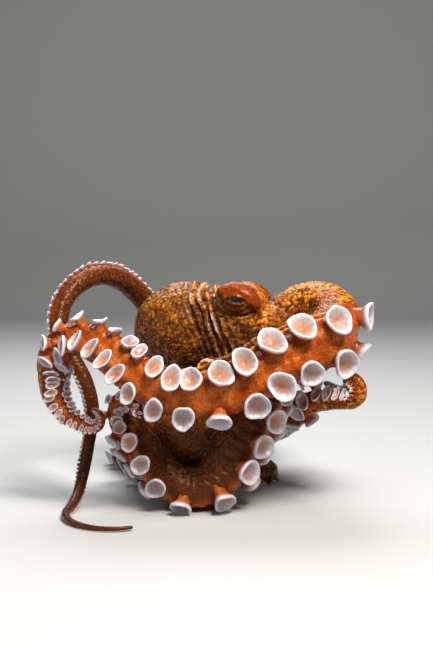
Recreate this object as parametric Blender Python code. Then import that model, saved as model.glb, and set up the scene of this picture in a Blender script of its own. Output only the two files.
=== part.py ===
"""A live octopus, life size, carried in a bundle: head and mantle over a heap of arms.

The plan is in millimetres: X to the right, Y away from the viewer, Z up, floor at zero.
Every arm follows a named route: points on its centre line with the side that bears the
suckers, then a curl at the tip. Arms are cut into lengths, and each length is a solid
with its suckers. The head, mantle and crown are ellipsoids fitted round one another.
"""
import math

import bmesh
import bpy
import numpy as np
from mathutils import Matrix, Vector

MM = 0.001
SHIFT = (0.03, -37.16)      # moves the plan so that its box is centred over the origin
GAP = 0.3                   # clear space between neighbouring nodes

TIP_RADIUS = 1.1            # every arm ends this thin
FULLNESS = 0.9              # below 1, an arm keeps its thickness a little longer
ROW_EDGE = 72.0             # degrees from the middle of the sucker side to a row's outer edge
BACK_SIDES = 6              # facets on the rest of an arm's section
PITCH = 1.2                 # spacing of the suckers of one row, in arm radii
STUB_HEIGHT = 0.30          # height of a sucker, in arm radii
STUB_TAPER = 0.84           # its rim against its foot
STUB_DISH = 0.14            # how deep its cup is, in arm radii
BEND_STEP = 0.45            # radians between sections where the suckers are too small to model
LEAST_STEP, MOST_STEP = 3.4, 9.0
ROUTE_SAMPLES = 60          # points worked out for each row of a route
CURL_SAMPLES = 200          # points along the curl at a tip
STEP_SAMPLES = 400          # points that a length's sections are spaced by
ROOT_REACH = 12             # how far along an arm its root meets the crown
ROOT_RADIUS = 8.0           # of the root's inner end, in the crown
ROOT_SHARE = 0.8            # its outer end, in arm radii
ROOT_SIDES = 6
ROOT_STRETCH = 1.5          # coarser sections on the lengths that are part of the crown

# radius and taper: thickness at the root and how late it thins. cuts: where the first
# solid starts and each later one begins, along the arm. bare: no sucker is modelled where
# the arm is thinner than this. route: x, y, z, then the direction of the sucker side.
# curl: radius, turns, what the radius shrinks to, side in degrees, drift for each turn.
ARMS = {
    "arm_right_1": dict(radius=16.8, taper=2.6, cuts=(26, 68, 122, 208, 262, 305), bare=5.2, route=[
        (42, 3, 102, 0, 0, -1), (56, 8, 118, 0.5, 0, -1), (73, 1, 125, 0.3, -0.3, -1),
        (83, -19, 118, 0.4, -0.8, -0.7), (74, -40, 107, 0.1, -1, -0.2), (54, -51, 98, -0.1, -1, 0.1),
        (32, -57, 87, -0.1, -1, 0), (6, -60, 77, 0, -1, -0.1), (-18, -59, 77, 0, -1, -0.1),
        (-42, -55, 88, 0.1, -1, 0.1), (-62, -48, 103, 0.1, -1, 0.4), (-79, -42, 108, 0.2, -1, 0.2),
        (-92, -37, 101, 0.6, -0.8, -0.1), (-96, -34, 86, 0.9, -0.6, 0.2), (-94, -34, 71, 0.5, -0.8, 0.3),
        (-85, -37, 59, 0.2, -1, 0.5), (-73, -40, 53, 0, -1, 0.5)],
        curl=(9, 0.6, 0.5, -50, 2)),
    "arm_right_2": dict(radius=15.8, taper=2.7, cuts=(44, 94, 150), bare=5.2, route=[
        (42, -14, 90, 0.3, 0, -1), (36, -24, 68, 0.95, -0.1, -0.1), (22, -31, 43, 0.9, -0.2, -0.4),
        (9, -34, 20.5, 0.5, -0.35, -0.8), (-7, -36, 13.2, 0, -0.4, -0.9), (-25, -34, 21, -0.4, -0.45, -0.8),
        (-38, -30, 37, -0.6, -0.6, -0.5), (-49, -25, 49, -0.5, -0.8, -0.4)],
        curl=(15, 0.75, 0.4, 90, 0)),
    "arm_right_3": dict(radius=12.5, taper=1.8, cuts=(40, 88, 150), bare=8.8, route=[
        (24, -20, 82, 0, 0, -1), (6, -12, 60, 0, -1, -0.3), (0, 6, 38, 0, -1, -0.8),
        (-4, 26, 17, 0, -0.3, -1), (-6, 46, 11, 0, 0, -1), (8, 64, 8.8, 0, 0, -1)],
        curl=(25, 1.3, 0.3, -90, 4.5)),
    "arm_right_4": dict(radius=12.5, taper=1.8, cuts=(32, 88, 156), bare=8.8, route=[
        (-2, -12, 75, 0, 0, -1), (-23, -10, 63, -0.3, -1, -0.5), (-39, 4, 42, -0.7, -0.6, -0.5),
        (-42, 26, 20, -0.6, -0.2, -1), (-36, 48, 11, 0, 0, -1), (-22, 70, 9.5, 0, 0, -1),
        (-12, 92, 8, 0, 0, -1)],
        curl=(19, 1.2, 0.3, 90, -4.5)),
    "arm_left_4": dict(radius=12.5, taper=1.8, cuts=(28, 92, 160), bare=8.8, route=[
        (-2, 8, 68, 0, 0, -1), (-20, 26, 60, -0.5, 0, -1), (-36, 48, 48, -0.5, 0.2, -1),
        (-50, 70, 32, 0, 0, -1), (-60, 94, 14, -0.3, 0, -1), (-60, 120, 7.8, 0, 0, -1),
        (-52, 140, 6.8, 0, 0, -1)],
        curl=(16, 1.1, 0.3, -90, 5)),
    "arm_left_3": dict(radius=12.5, taper=1.8, cuts=(28, 86, 146), bare=8.8, route=[
        (8, 24, 72, 0, 0, -1), (4, 46, 56, 0, 0.3, -1), (4, 70, 42, 0, 0.5, -1),
        (8, 94, 27, 0.3, 0, -1), (14, 118, 12, 0, 0, -1), (14, 140, 8, 0, 0, -1)],
        curl=(20, 1.15, 0.3, -90, 5)),
    "arm_left_2": dict(radius=11.0, taper=1.0, cuts=(24, 90, 178, 250, 330, 390), bare=8.4, route=[
        (24, 32, 82, 0, 0, -1), (27, 60, 76, 0.3, 0.5, -1), (10, 86, 76, 0, 1, -0.5),
        (-16, 94, 92, 0, 1, 0), (-38, 82, 116, -0.3, 1, 0.3), (-56, 60, 137, -0.4, 0.8, 0.8),
        (-76, 34, 143, -0.5, 0.8, 0.8), (-93, 15, 128, -1, 0.6, 0.5), (-95, 5, 106, -1, 0.6, 0),
        (-83, -1, 86, -1, 0, -0.4), (-74, -5, 64, -1, 0, 0), (-75, -11, 38, -1, 0, 0),
        (-79, -20, 14, -0.3, 0.6, -0.8), (-82, -36, 4.8, 0, 0.2, -1), (-84, -50, 3.2, 0, 0, -1)],
        curl=(40, 0.35, 0.6, 90, 1)),
    "arm_left_1": dict(radius=13.0, taper=2.5, cuts=(26, 72, 122, 188, 240), bare=8.0, route=[
        (41, 24, 90, 0, 0, -1), (53, 50, 91, 0.6, 0, -1), (59, 74, 88, 0.8, 0.3, -0.8),
        (58, 92, 81, 0.9, 0.5, -0.3), (55, 98, 66, 0.9, 0.5, -0.2), (51, 92, 51, 0.8, 0.4, -0.6),
        (46, 74, 44, 0.5, 0, -1), (43, 51, 43, 0.2, 0, -1), (47, 28, 48, 0.3, 0, -1),
        (61, 6, 58, 0.5, -0.5, -0.3), (78, -9, 65, 0, -0.5, 1), (92, -20, 66, 0, -0.4, 1)],
        curl=(9, 1.0, 0.5, 0, -9)),
}

# centre, semi-axes, direction of the first semi-axis, segments round and along
MANTLE = ((-12, 30, 107), (40, 33, 33), (-0.72, 0.68, -0.12), 18, 10)
SKULL = ((20, 6, 111), (28, 25, 28), (0.8, -0.5, 0.1), 14, 8)
NAPE = ((7, 10, 117), (21, 20, 21.5), (1, 0, 0), 12, 8)
LID_RIGHT = ((21.5, -9, 128.5), (17, 13, 12.5), (1, 0, 0), 12, 7)
LID_LEFT = ((28, 22, 127), (15, 12, 12.5), (1, 0.2, 0), 10, 6)
HEAD_SHAPES = (SKULL, NAPE, LID_RIGHT, LID_LEFT)
CROWN = ((24, 4, 82), (27, 27, 20), (0.8, -0.5, 0.1), 12, 6)
UPPER_WEB = ((8, -10, 68), (32, 17, 15), (1, 0, 0.15), 10, 6)
LOWER_WEB = ((-4, -19, 48), (28, 11, 21), (1, 0, 0.1), 10, 8)
EYES = {"eye_right": (20.0, -14.6, 129.5), "eye_left": (29.5, 26.6, 128.0)}
EYE_RADIUS = 8.6
EYE_FACETS = (12, 8)
EYE_AXIS = (0, 1, 0)

FUNNEL_FOOT, FUNNEL_MOUTH = (4, -12, 86), (0, -37, 90)
FUNNEL_RADII = (8.0, 5.4)   # at the foot and the mouth
BORE_RADIUS = 3.2
BORE_SPAN = (0.35, 1.1)     # where the bore starts and ends, from foot to mouth
TUBE_SIDES = 14

# base colour (linear red, green, blue), roughness, metallic
MANTLE_FINISH = ((0.42, 0.20, 0.035), 0.42, 0.0)
HEAD_FINISH = ((0.30, 0.10, 0.022), 0.38, 0.0)
CROWN_FINISH = ((0.20, 0.075, 0.018), 0.45, 0.0)
ARM_FINISH = ((0.50, 0.17, 0.025), 0.40, 0.0)
EYE_FINISH = ((0.03, 0.018, 0.010), 0.10, 0.0)
FUNNEL_FINISH = ((0.60, 0.34, 0.24), 0.40, 0.0)


# ---------------------------------------------------------------- curves

def unit(v):
    v = np.asarray(v, float)
    return v / np.linalg.norm(v, axis=-1, keepdims=True)


def spline(points, count):
    """A natural cubic through the rows, sampled evenly along their chords."""
    p = np.array(points, float)
    t = np.concatenate([[0], np.cumsum(np.linalg.norm(np.diff(p[:, :3], axis=0), axis=1))])
    h = np.diff(t)
    n = len(p)
    a = np.eye(n)
    b = np.zeros_like(p)
    for i in range(1, n - 1):
        a[i, i - 1:i + 2] = h[i - 1], 2 * (h[i - 1] + h[i]), h[i]
        b[i] = 6 * ((p[i + 1] - p[i]) / h[i] - (p[i] - p[i - 1]) / h[i - 1])
    m = np.linalg.solve(a, b)
    u = np.linspace(0, t[-1], count)
    k = np.clip(np.searchsorted(t, u, side="right") - 1, 0, n - 2)
    d = (u - t[k])[:, None]
    e = (t[k + 1] - u)[:, None]
    w = h[k][:, None]
    return ((m[k] * e ** 3 + m[k + 1] * d ** 3) / (6 * w)
            + (p[k] / w - m[k] * w / 6) * e + (p[k + 1] / w - m[k + 1] * w / 6) * d)


def curl_points(p, t, o, curl):
    """Points and sucker sides of a curl that goes on from point p along t."""
    radius, turns, shrink, side, drift = curl
    a = math.radians(side)
    inward = math.cos(a) * o + math.sin(a) * np.cross(t, o)
    axis = np.cross(t, inward)
    turn = 2 * math.pi * turns / CURL_SAMPLES
    points, sides = [], []
    for i in range(CURL_SAMPLES):
        f = (i + 0.5) * turn
        reach = radius * shrink ** ((i + 0.5) / CURL_SAMPLES)
        p = p + reach * turn * (math.cos(f) * t + math.sin(f) * inward)
        p = p + drift * turn / (2 * math.pi) * axis
        g = (i + 1) * turn
        points.append(p)
        kept = axis * (axis @ o)
        sides.append(kept + (o - kept) * math.cos(g) + np.cross(axis, o) * math.sin(g))
    return points, sides


def follow(arm):
    """Every millimetre along an arm: distance from the root, point, tangent, sucker side."""
    rows = spline(arm["route"], ROUTE_SAMPLES * len(arm["route"]))
    p, o = rows[:, :3], rows[:, 3:]
    t = unit(np.gradient(p, axis=0))
    o = unit(o - (o * t).sum(1)[:, None] * t)
    more, sides = curl_points(p[-1], t[-1], o[-1], arm["curl"])
    p = np.vstack([p, more])
    o = np.vstack([o, sides])
    s = np.concatenate([[0], np.cumsum(np.linalg.norm(np.diff(p, axis=0), axis=1))])
    u = np.linspace(0, s[-1], int(s[-1]) + 1)
    p = np.stack([np.interp(u, s, p[:, i]) for i in range(3)], 1)
    o = np.stack([np.interp(u, s, o[:, i]) for i in range(3)], 1)
    return u, p, unit(np.gradient(p, axis=0)), o


def thickness(arm, share):
    """An arm's radius at a share of its length."""
    return TIP_RADIUS + (arm["radius"] - TIP_RADIUS) * (1 - share ** arm["taper"]) ** FULLNESS


# ---------------------------------------------------------------- lengths of arm

def section_places(arm, u, t, start, end, stretch):
    """Where a length's sections go: two to a sucker, or by its bends where it bears none."""
    fine = np.linspace(start, end, STEP_SAMPLES)
    r = thickness(arm, np.clip(fine / u[-1], 0, 1))
    bend = np.linalg.norm(np.gradient(t, axis=0), axis=1)
    plain = np.interp(fine, u, np.clip(BEND_STEP / np.maximum(bend, 1e-6), LEAST_STEP, MOST_STEP))
    step = np.where(r > arm["bare"], PITCH / 2 * r * stretch, plain)
    count = np.concatenate([[0], np.cumsum(0.5 * (1 / step[1:] + 1 / step[:-1]) * np.diff(fine))])
    rings = max(2, round(count[-1]))
    return np.interp(np.linspace(0, count[-1], rings + 1), count, fine)


def section_angles():
    """From the middle of the sucker side round the arm's back to the other row."""
    back = 360 - 2 * ROW_EDGE
    return [0.0] + [math.radians(ROW_EDGE + back * i / BACK_SIDES) for i in range(BACK_SIDES + 1)]


def add_sucker(bm, grid, i, side, frame):
    """Raise a dished six-sided stub from the two facets of a row beside section i + 1."""
    sides = len(grid[i])
    left, right = (0, 1) if side > 0 else (sides - 1, 0)
    loop = [grid[i][left], grid[i][right], grid[i + 1][right],
            grid[i + 2][right], grid[i + 2][left], grid[i + 1][left]]
    facing, across, radius = frame
    lean = math.radians(ROW_EDGE / 2)
    up = math.cos(lean) * facing + side * math.sin(lean) * across
    foot = np.mean([v.co for v in loop], axis=0)
    rim = []
    for v in loop:
        w = np.array(v.co) - foot
        w = w - (w @ up) * up
        rim.append(bm.verts.new(foot + STUB_TAPER * w + STUB_HEIGHT * radius * up))
    pressed_flat = max(v.co.z for v in rim) <= 0
    dish = 0 if pressed_flat else STUB_DISH
    cup = bm.verts.new(foot + (STUB_HEIGHT - dish) * radius * up)
    for k in range(6):
        j = (k + 1) % 6
        bm.faces.new((loop[k], loop[j], rim[j], rim[k]))
        bm.faces.new((rim[k], rim[j], cup))
    return {(i, left), (i + 1, left)}


def arm_length(name, arm, start, end, extra=0.0, suckers=True, tip=False, stretch=1.0):
    """One length of an arm, closed at both ends, in plan millimetres."""
    u, p, t, o = follow(arm)
    angles = section_angles()
    bm = bmesh.new()
    grid, frames = [], []
    for s in section_places(arm, u, t, start, end, stretch):
        centre = np.array([np.interp(s, u, p[:, i]) for i in range(3)])
        ahead = unit([np.interp(s, u, t[:, i]) for i in range(3)])
        facing = np.array([np.interp(s, u, o[:, i]) for i in range(3)])
        facing = unit(facing - (facing @ ahead) * ahead)
        across = np.cross(ahead, facing)
        radius = thickness(arm, min(s / u[-1], 1.0)) + extra
        frames.append((facing, across, radius))
        grid.append([bm.verts.new(centre + radius * (math.cos(a) * facing + math.sin(a) * across))
                     for a in angles])
    last = len(grid) - 1
    taken = set()
    if suckers:
        for row, side in ((0, 1), (1, -1)):   # the two rows are staggered by one section
            for i in range(row, last - 1, 2):
                if frames[i + 1][2] > arm["bare"]:
                    taken |= add_sucker(bm, grid, i, side, frames[i + 1])
    n = len(angles)
    for i in range(last):
        for j in range(n):
            if (i, j) not in taken:
                k = (j + 1) % n
                bm.faces.new((grid[i][j], grid[i][k], grid[i + 1][k], grid[i + 1][j]))
    bm.faces.new(grid[0][::-1])
    if tip:
        point = bm.verts.new(centre + radius * ahead)
        for j in range(n):
            bm.faces.new((grid[-1][j], grid[-1][(j + 1) % n], point))
    else:
        bm.faces.new(grid[-1])
    for v in bm.verts:
        v.co.z = max(v.co.z, 0.0)
    bmesh.ops.triangulate(bm, faces=bm.faces[:])
    return new_object(name, bm)


def make_arm(name, arm):
    """An arm's lengths, from its first cut to its tip."""
    cuts = [*arm["cuts"], follow(arm)[0][-1]]
    lengths = []
    for letter, start, end in zip("abcdef", cuts, cuts[1:]):
        tip = end == cuts[-1]
        trim = 0 if tip else GAP / 2
        lengths.append(arm_length(f"{name}_{letter}", arm, start + GAP / 2, end - trim, tip=tip))
    return lengths


# ---------------------------------------------------------------- bodies

def new_object(name, bm):
    mesh = bpy.data.meshes.new(name)
    bm.to_mesh(mesh)
    bm.free()
    obj = bpy.data.objects.new(name, mesh)
    bpy.context.scene.collection.objects.link(obj)
    return obj


def ellipsoid(name, shape, grow=0.0):
    centre, axes, along, segments, rows = shape
    bm = bmesh.new()
    bmesh.ops.create_uvsphere(bm, u_segments=segments, v_segments=rows, radius=1.0)
    x = Vector(along).normalized()
    y = Vector((0, 0, 1)).cross(x).normalized()
    z = x.cross(y)
    turn = Matrix((x, y, z)).transposed()
    # the poles lie along the first axis
    for v in bm.verts:
        w = Vector((v.co.z * (axes[0] + grow), v.co.x * (axes[1] + grow), v.co.y * (axes[2] + grow)))
        v.co = turn @ w + Vector(centre)
    return new_object(name, bm)


def eyeball(name, centre, grow=0.0):
    return ellipsoid(name, (centre, (EYE_RADIUS,) * 3, EYE_AXIS, *EYE_FACETS), grow)


def tube(name, foot, mouth, wide, narrow, sides=TUBE_SIDES):
    bm = bmesh.new()
    d = Vector(mouth) - Vector(foot)
    bmesh.ops.create_cone(bm, cap_ends=True, segments=sides, radius1=wide, radius2=narrow, depth=d.length)
    turn = d.to_track_quat("Z", "Y").to_matrix().to_4x4()
    middle = Matrix.Translation((Vector(foot) + Vector(mouth)) / 2)
    bmesh.ops.transform(bm, matrix=middle @ turn, verts=bm.verts[:])
    return new_object(name, bm)


def settle(obj):
    """Replace an object's mesh by what its modifiers make of it."""
    graph = bpy.context.evaluated_depsgraph_get()
    mesh = bpy.data.meshes.new_from_object(obj.evaluated_get(graph))
    obj.modifiers.clear()
    old = obj.data
    obj.data = mesh
    mesh.name = obj.name
    bpy.data.meshes.remove(old)


def combine(target, operation, others):
    """Join other objects to the target, or cut them from it, one by one."""
    for other in others:
        mod = target.modifiers.new(operation.lower(), "BOOLEAN")
        mod.operation = operation
        mod.solver = "EXACT"
        mod.object = other
        settle(target)
        bpy.data.objects.remove(other)


def grown(*shapes):
    return [ellipsoid("grown", shape, GAP) for shape in shapes]


def hollows():
    """What the eyes and the funnel need clear."""
    sockets = [eyeball("socket", centre, GAP) for centre in EYES.values()]
    wide, narrow = FUNNEL_RADII
    return [*sockets, tube("throat", FUNNEL_FOOT, FUNNEL_MOUTH, wide + GAP, narrow + GAP)]


def make_head():
    """The skull and the nape with a raised lid round each eye."""
    head = ellipsoid("head", SKULL)
    combine(head, "UNION", [ellipsoid("rise", shape) for shape in HEAD_SHAPES[1:]])
    combine(head, "DIFFERENCE", hollows())
    return head


def make_mantle():
    """The sac behind the head, cut back where the head joins it."""
    mantle = ellipsoid("mantle", MANTLE)
    combine(mantle, "DIFFERENCE", grown(*HEAD_SHAPES) + hollows())
    return mantle


def make_crown():
    """The ring of arm roots under the head, with the web between them."""
    crown = ellipsoid("crown", CROWN)
    parts = [ellipsoid("web", UPPER_WEB), ellipsoid("web", LOWER_WEB)]
    for arm in ARMS.values():
        p = follow(arm)[1]
        wide = arm["radius"] * ROOT_SHARE
        end = arm["cuts"][0] - GAP / 2
        parts.append(tube("root", CROWN[0], p[ROOT_REACH], ROOT_RADIUS, wide, ROOT_SIDES))
        parts.append(arm_length("stub", arm, 0, end, suckers=False, stretch=ROOT_STRETCH))
    combine(crown, "UNION", parts)
    combine(crown, "DIFFERENCE", grown(*HEAD_SHAPES, MANTLE) + hollows())
    just_before = GAP * 0.45
    first_lengths = [(arm, arm["cuts"][0] - just_before, arm["cuts"][1]) for arm in ARMS.values()]
    low_arm = ARMS["arm_right_2"]
    rest_of_low_arm = (low_arm, low_arm["cuts"][1], follow(low_arm)[0][-1])
    combine(crown, "DIFFERENCE", [arm_length("clear", arm, start, end, extra=GAP)
                                  for arm, start, end in [*first_lengths, rest_of_low_arm]])
    return crown


def make_funnel():
    """The short spout below the head, open at its mouth."""
    funnel = tube("funnel", FUNNEL_FOOT, FUNNEL_MOUTH, *FUNNEL_RADII)
    foot = Vector(FUNNEL_FOOT)
    reach = Vector(FUNNEL_MOUTH) - foot
    bore = tube("bore", foot + reach * BORE_SPAN[0], foot + reach * BORE_SPAN[1], BORE_RADIUS, BORE_RADIUS)
    combine(funnel, "DIFFERENCE", [bore])
    return funnel


# ---------------------------------------------------------------- finish

def set_finish(obj, finish):
    """Give an object a material of its own."""
    colour, roughness, metallic = finish
    material = bpy.data.materials.new(obj.name)
    material.use_nodes = True
    shader = material.node_tree.nodes["Principled BSDF"]
    shader.inputs["Base Color"].default_value = (*colour, 1.0)
    shader.inputs["Roughness"].default_value = roughness
    shader.inputs["Metallic"].default_value = metallic
    obj.data.materials.clear()
    obj.data.materials.append(material)


def build():
    for old in list(bpy.data.objects):
        bpy.data.objects.remove(old)
    parts = [(length, ARM_FINISH) for name, arm in ARMS.items() for length in make_arm(name, arm)]
    parts += [(make_mantle(), MANTLE_FINISH), (make_head(), HEAD_FINISH), (make_crown(), CROWN_FINISH)]
    parts += [(eyeball(name, centre), EYE_FINISH) for name, centre in EYES.items()]
    parts.append((make_funnel(), FUNNEL_FINISH))
    to_row_frame = Matrix.Scale(MM, 4) @ Matrix.Translation((*SHIFT, 0))
    for obj, finish in parts:
        obj.data.transform(to_row_frame)
        set_finish(obj, finish)


build()
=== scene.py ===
"""The looks of a live octopus carried in a bundle, in plan millimetres until a mesh is made.

One skin covers the mantle, head, crown, funnel and arms. It is swept and turned shells
melted together, then wrinkled and coloured point by point. Suckers and eyes are pieces
of their own.
"""

import math

import bpy
import numpy as np
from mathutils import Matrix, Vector
from mathutils.kdtree import KDTree


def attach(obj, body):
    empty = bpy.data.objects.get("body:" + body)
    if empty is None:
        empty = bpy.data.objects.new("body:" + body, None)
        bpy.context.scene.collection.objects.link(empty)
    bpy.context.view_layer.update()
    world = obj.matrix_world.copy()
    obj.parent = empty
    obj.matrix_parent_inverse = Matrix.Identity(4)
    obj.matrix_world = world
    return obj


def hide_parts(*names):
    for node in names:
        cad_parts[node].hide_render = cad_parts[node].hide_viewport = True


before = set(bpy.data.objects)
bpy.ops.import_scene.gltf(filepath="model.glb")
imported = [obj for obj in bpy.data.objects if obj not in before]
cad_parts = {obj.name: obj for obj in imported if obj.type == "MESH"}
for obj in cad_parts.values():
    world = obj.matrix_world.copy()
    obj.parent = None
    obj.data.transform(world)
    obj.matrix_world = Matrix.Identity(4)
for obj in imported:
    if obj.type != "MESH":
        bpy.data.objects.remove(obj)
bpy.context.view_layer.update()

MM = 0.001
SHIFT = np.array([0.03, -37.16, 0.0])    # the plan's zero in the row's frame
VOXEL = 0.72                             # grain of the melted skin
SKIN_OFF_FLOOR, CUPS_OFF_FLOOR = 0.25, 0.05
TIP_RADIUS = 1.1

# suckers
ROW_ANGLE, FACE_ANGLE = 44, 29           # degrees of a row, and of the way it faces, from the sucker side
WIDE, LONG, PITCH = 0.60, 0.51, 1.15     # half-sizes and spacing, in arm radii
OUT_OF_CROWN = 1.12                      # no sucker is nearer the crown's middle than this
STAND_OUT = 0.6                          # how much further out a sucker stands as it leans
FIRST_SUCKER, LAST_SUCKER = 12.0, 1.5    # distances from the arm's start and from its tip
ROOT_SHARE, FULL_SIZE_AT = 0.55, 45.0    # size of the first ones, and the distance where they are full size
FLESHY = 4.0                             # larger ones have a stalk of flesh
LARGE, MIDDLING = 7, 3.5                 # sizes above which the meshes are finer

# Root radius, taper, sucker size, route (x, y, z, then the sucker side), and the tip's
# curl (radius, turns, shrink, side in degrees, drift per turn), as in the CAD model.
# By distance along an arm: swell widens its suckers, crowd shortens them, lean and turn
# set how they face. The first colour share is how far its back and flanks go to dark umber,
# partly their own colour and partly painted shade where the lower arms lie in shadow;
# russet is how far its back goes to a red-brown.
ARMS = {
    "right_1": dict(radius=16.8, taper=2.6, cup=1.0, crowd=((180, 230), (1, 0.66)),
                    lean=((200, 240, 275, 300), (0, 32, 25, 0)),
                    turn=((225, 260, 290, 310), (0, 0.9, 0.9, 0)), route=[
        (42, 3, 102, 0, 0, -1), (56, 8, 118, 0.5, 0, -1), (73, 1, 125, 0.3, -0.3, -1),
        (83, -19, 118, 0.4, -0.8, -0.7), (74, -40, 107, 0.1, -1, -0.2), (54, -51, 98, -0.1, -1, 0.1),
        (32, -57, 87, -0.1, -1, 0), (6, -60, 77, 0, -1, -0.1), (-18, -59, 77, 0, -1, -0.1),
        (-42, -55, 88, 0.1, -1, 0.1), (-62, -48, 103, 0.1, -1, 0.4), (-79, -42, 108, 0.2, -1, 0.2),
        (-92, -37, 101, 0.6, -0.8, -0.1), (-96, -34, 86, 0.9, -0.6, 0.2), (-94, -34, 71, 0.5, -0.8, 0.3),
        (-85, -37, 59, 0.2, -1, 0.5), (-73, -40, 53, 0, -1, 0.5)],
        curl=(9, 0.6, 0.5, -50, 2)),
    "right_2": dict(radius=15.8, taper=2.7, cup=1.0, dark_brown_and_shade=0.85, route=[
        (42, -14, 90, 0.3, 0, -1), (36, -24, 68, 0.95, -0.1, -0.1), (22, -31, 43, 0.9, -0.2, -0.4),
        (9, -34, 20.5, 0.5, -0.35, -0.8), (-7, -36, 13.2, 0, -0.4, -0.9), (-25, -34, 21, -0.4, -0.45, -0.8),
        (-38, -30, 37, -0.6, -0.6, -0.5), (-49, -25, 49, -0.5, -0.8, -0.4)],
        curl=(15, 0.75, 0.4, 90, 0)),
    "right_3": dict(radius=12.5, taper=1.8, cup=1.0, dark_brown_and_shade=0.6, route=[
        (24, -20, 82, 0, 0, -1), (6, -12, 60, 0, -1, -0.3), (0, 6, 38, 0, -1, -0.8),
        (-4, 26, 17, 0, -0.3, -1), (-6, 46, 11, 0, 0, -1), (8, 64, 8.8, 0, 0, -1)],
        curl=(25, 1.3, 0.3, -90, 4.5)),
    "right_4": dict(radius=12.5, taper=1.8, cup=1.0, dark_brown_and_shade=0.6, route=[
        (-2, -12, 75, 0, 0, -1), (-23, -10, 63, -0.3, -1, -0.5), (-39, 4, 42, -0.7, -0.6, -0.5),
        (-42, 26, 20, -0.6, -0.2, -1), (-36, 48, 11, 0, 0, -1), (-22, 70, 9.5, 0, 0, -1),
        (-12, 92, 8, 0, 0, -1)],
        curl=(19, 1.2, 0.3, 90, -4.5)),
    "left_4": dict(radius=12.5, taper=1.8, cup=1.0, dark_brown_and_shade=0.6, route=[
        (-2, 8, 68, 0, 0, -1), (-20, 26, 60, -0.5, 0, -1), (-36, 48, 48, -0.5, 0.2, -1),
        (-50, 70, 32, 0, 0, -1), (-60, 94, 14, -0.3, 0, -1), (-60, 120, 7.8, 0, 0, -1),
        (-52, 140, 6.8, 0, 0, -1)],
        curl=(16, 1.1, 0.3, -90, 5)),
    "left_3": dict(radius=12.5, taper=1.8, cup=1.0, dark_brown_and_shade=0.6, route=[
        (8, 24, 72, 0, 0, -1), (4, 46, 56, 0, 0.3, -1), (4, 70, 42, 0, 0.5, -1),
        (8, 94, 27, 0.3, 0, -1), (14, 118, 12, 0, 0, -1), (14, 140, 8, 0, 0, -1)],
        curl=(20, 1.15, 0.3, -90, 5)),
    "left_2": dict(radius=11.0, taper=1.0, cup=0.6, dark_brown_and_shade=0.45, russet=0.85, route=[
        (24, 32, 82, 0, 0, -1), (27, 60, 76, 0.3, 0.5, -1), (10, 86, 76, 0, 1, -0.5),
        (-16, 94, 92, 0, 1, 0), (-38, 82, 116, -0.3, 1, 0.3), (-56, 60, 137, -0.4, 0.8, 0.8),
        (-76, 34, 143, -0.5, 0.8, 0.8), (-93, 15, 128, -1, 0.6, 0.5), (-95, 5, 106, -1, 0.6, 0),
        (-83, -1, 86, -1, 0, -0.4), (-74, -5, 64, -1, 0, 0), (-75, -11, 38, -1, 0, 0),
        (-79, -20, 14, -0.3, 0.6, -0.8), (-82, -36, 4.8, 0, 0.2, -1), (-84, -50, 3.2, 0, 0, -1)],
        curl=(40, 0.35, 0.6, 90, 1)),
    "left_1": dict(radius=13.0, taper=2.5, cup=1.2, swell=((190, 240), (1, 1.35)),
                   crowd=((200, 240), (1, 0.45)), route=[
        (41, 24, 90, 0, 0, -1), (53, 50, 91, 0.6, 0, -1), (59, 74, 88, 0.8, 0.3, -0.8),
        (58, 92, 81, 0.9, 0.5, -0.3), (55, 98, 66, 0.9, 0.5, -0.2), (51, 92, 51, 0.8, 0.4, -0.6),
        (46, 74, 44, 0.5, 0, -1), (43, 51, 43, 0.2, 0, -1), (47, 28, 48, 0.3, 0, -1),
        (61, 6, 58, 0.5, -0.5, -0.3), (78, -9, 65, 0, -0.5, 1), (92, -20, 66, 0, -0.4, 1)],
        curl=(9, 1.0, 0.5, 0, -9)),
}
# how far the web reaches from each arm to the next one round
WEB_DEPTHS = {"right_1": 58, "right_2": 62, "right_3": 52, "right_4": 48,
              "left_4": 52, "left_3": 52, "left_2": 56, "left_1": 58}

# centre, semi-axes, direction of the first semi-axis
MANTLE = ((-12, 30, 107), (40, 33, 33), (-0.72, 0.68, -0.12))
SKULL = ((20, 6, 111), (28, 25, 28), (0.8, -0.5, 0.1))
NAPE = ((7, 10, 117), (21, 20, 21.5), (1, 0, 0))
LID_RIGHT = ((21.5, -9, 128.5), (17, 13, 12.5), (1, 0, 0))
LID_LEFT = ((28, 22, 127), (15, 12, 12.5), (1, 0.2, 0))
CROWN = ((24, 4, 82), (27, 27, 20), (0.8, -0.5, 0.1))
UPPER_WEB = ((8, -10, 68), (32, 17, 15), (1, 0, 0.15))
LOWER_WEB = ((-4, -19, 47), (28, 11, 25), (1, 0, 0.1))
SHOULDER = ((43, -6, 112), (10, 9, 13), (1, 0, 0))
HEAD_SHAPES = (MANTLE, SKULL, NAPE, LID_RIGHT, LID_LEFT)
CROWN_SHAPES = (CROWN, UPPER_WEB, LOWER_WEB, SHOULDER)
EYES = {"eye_right": ((20.0, -14.6, 129.5), 8.6, (-0.08, -1.0, 0.1)),
        "eye_left": ((29.5, 26.6, 128.0), 8.6, (0.15, 1.0, 0.12))}
NECK = ((4, -16, 108), (-0.90, 0.22, -0.36))   # a point in the folds behind the eyes, and the way across them
# folds of the front arm's web: start and end along the arm, degrees from the sucker side, height
RIDGES = ((92, 190, 70, 2.6), (88, 196, 88, 5.0))
FUNNEL = ((4, -12, 86), (0, -37, 90), 7.6, 5.2, 3.0)   # foot, mouth, outer radius at each, bore


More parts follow.
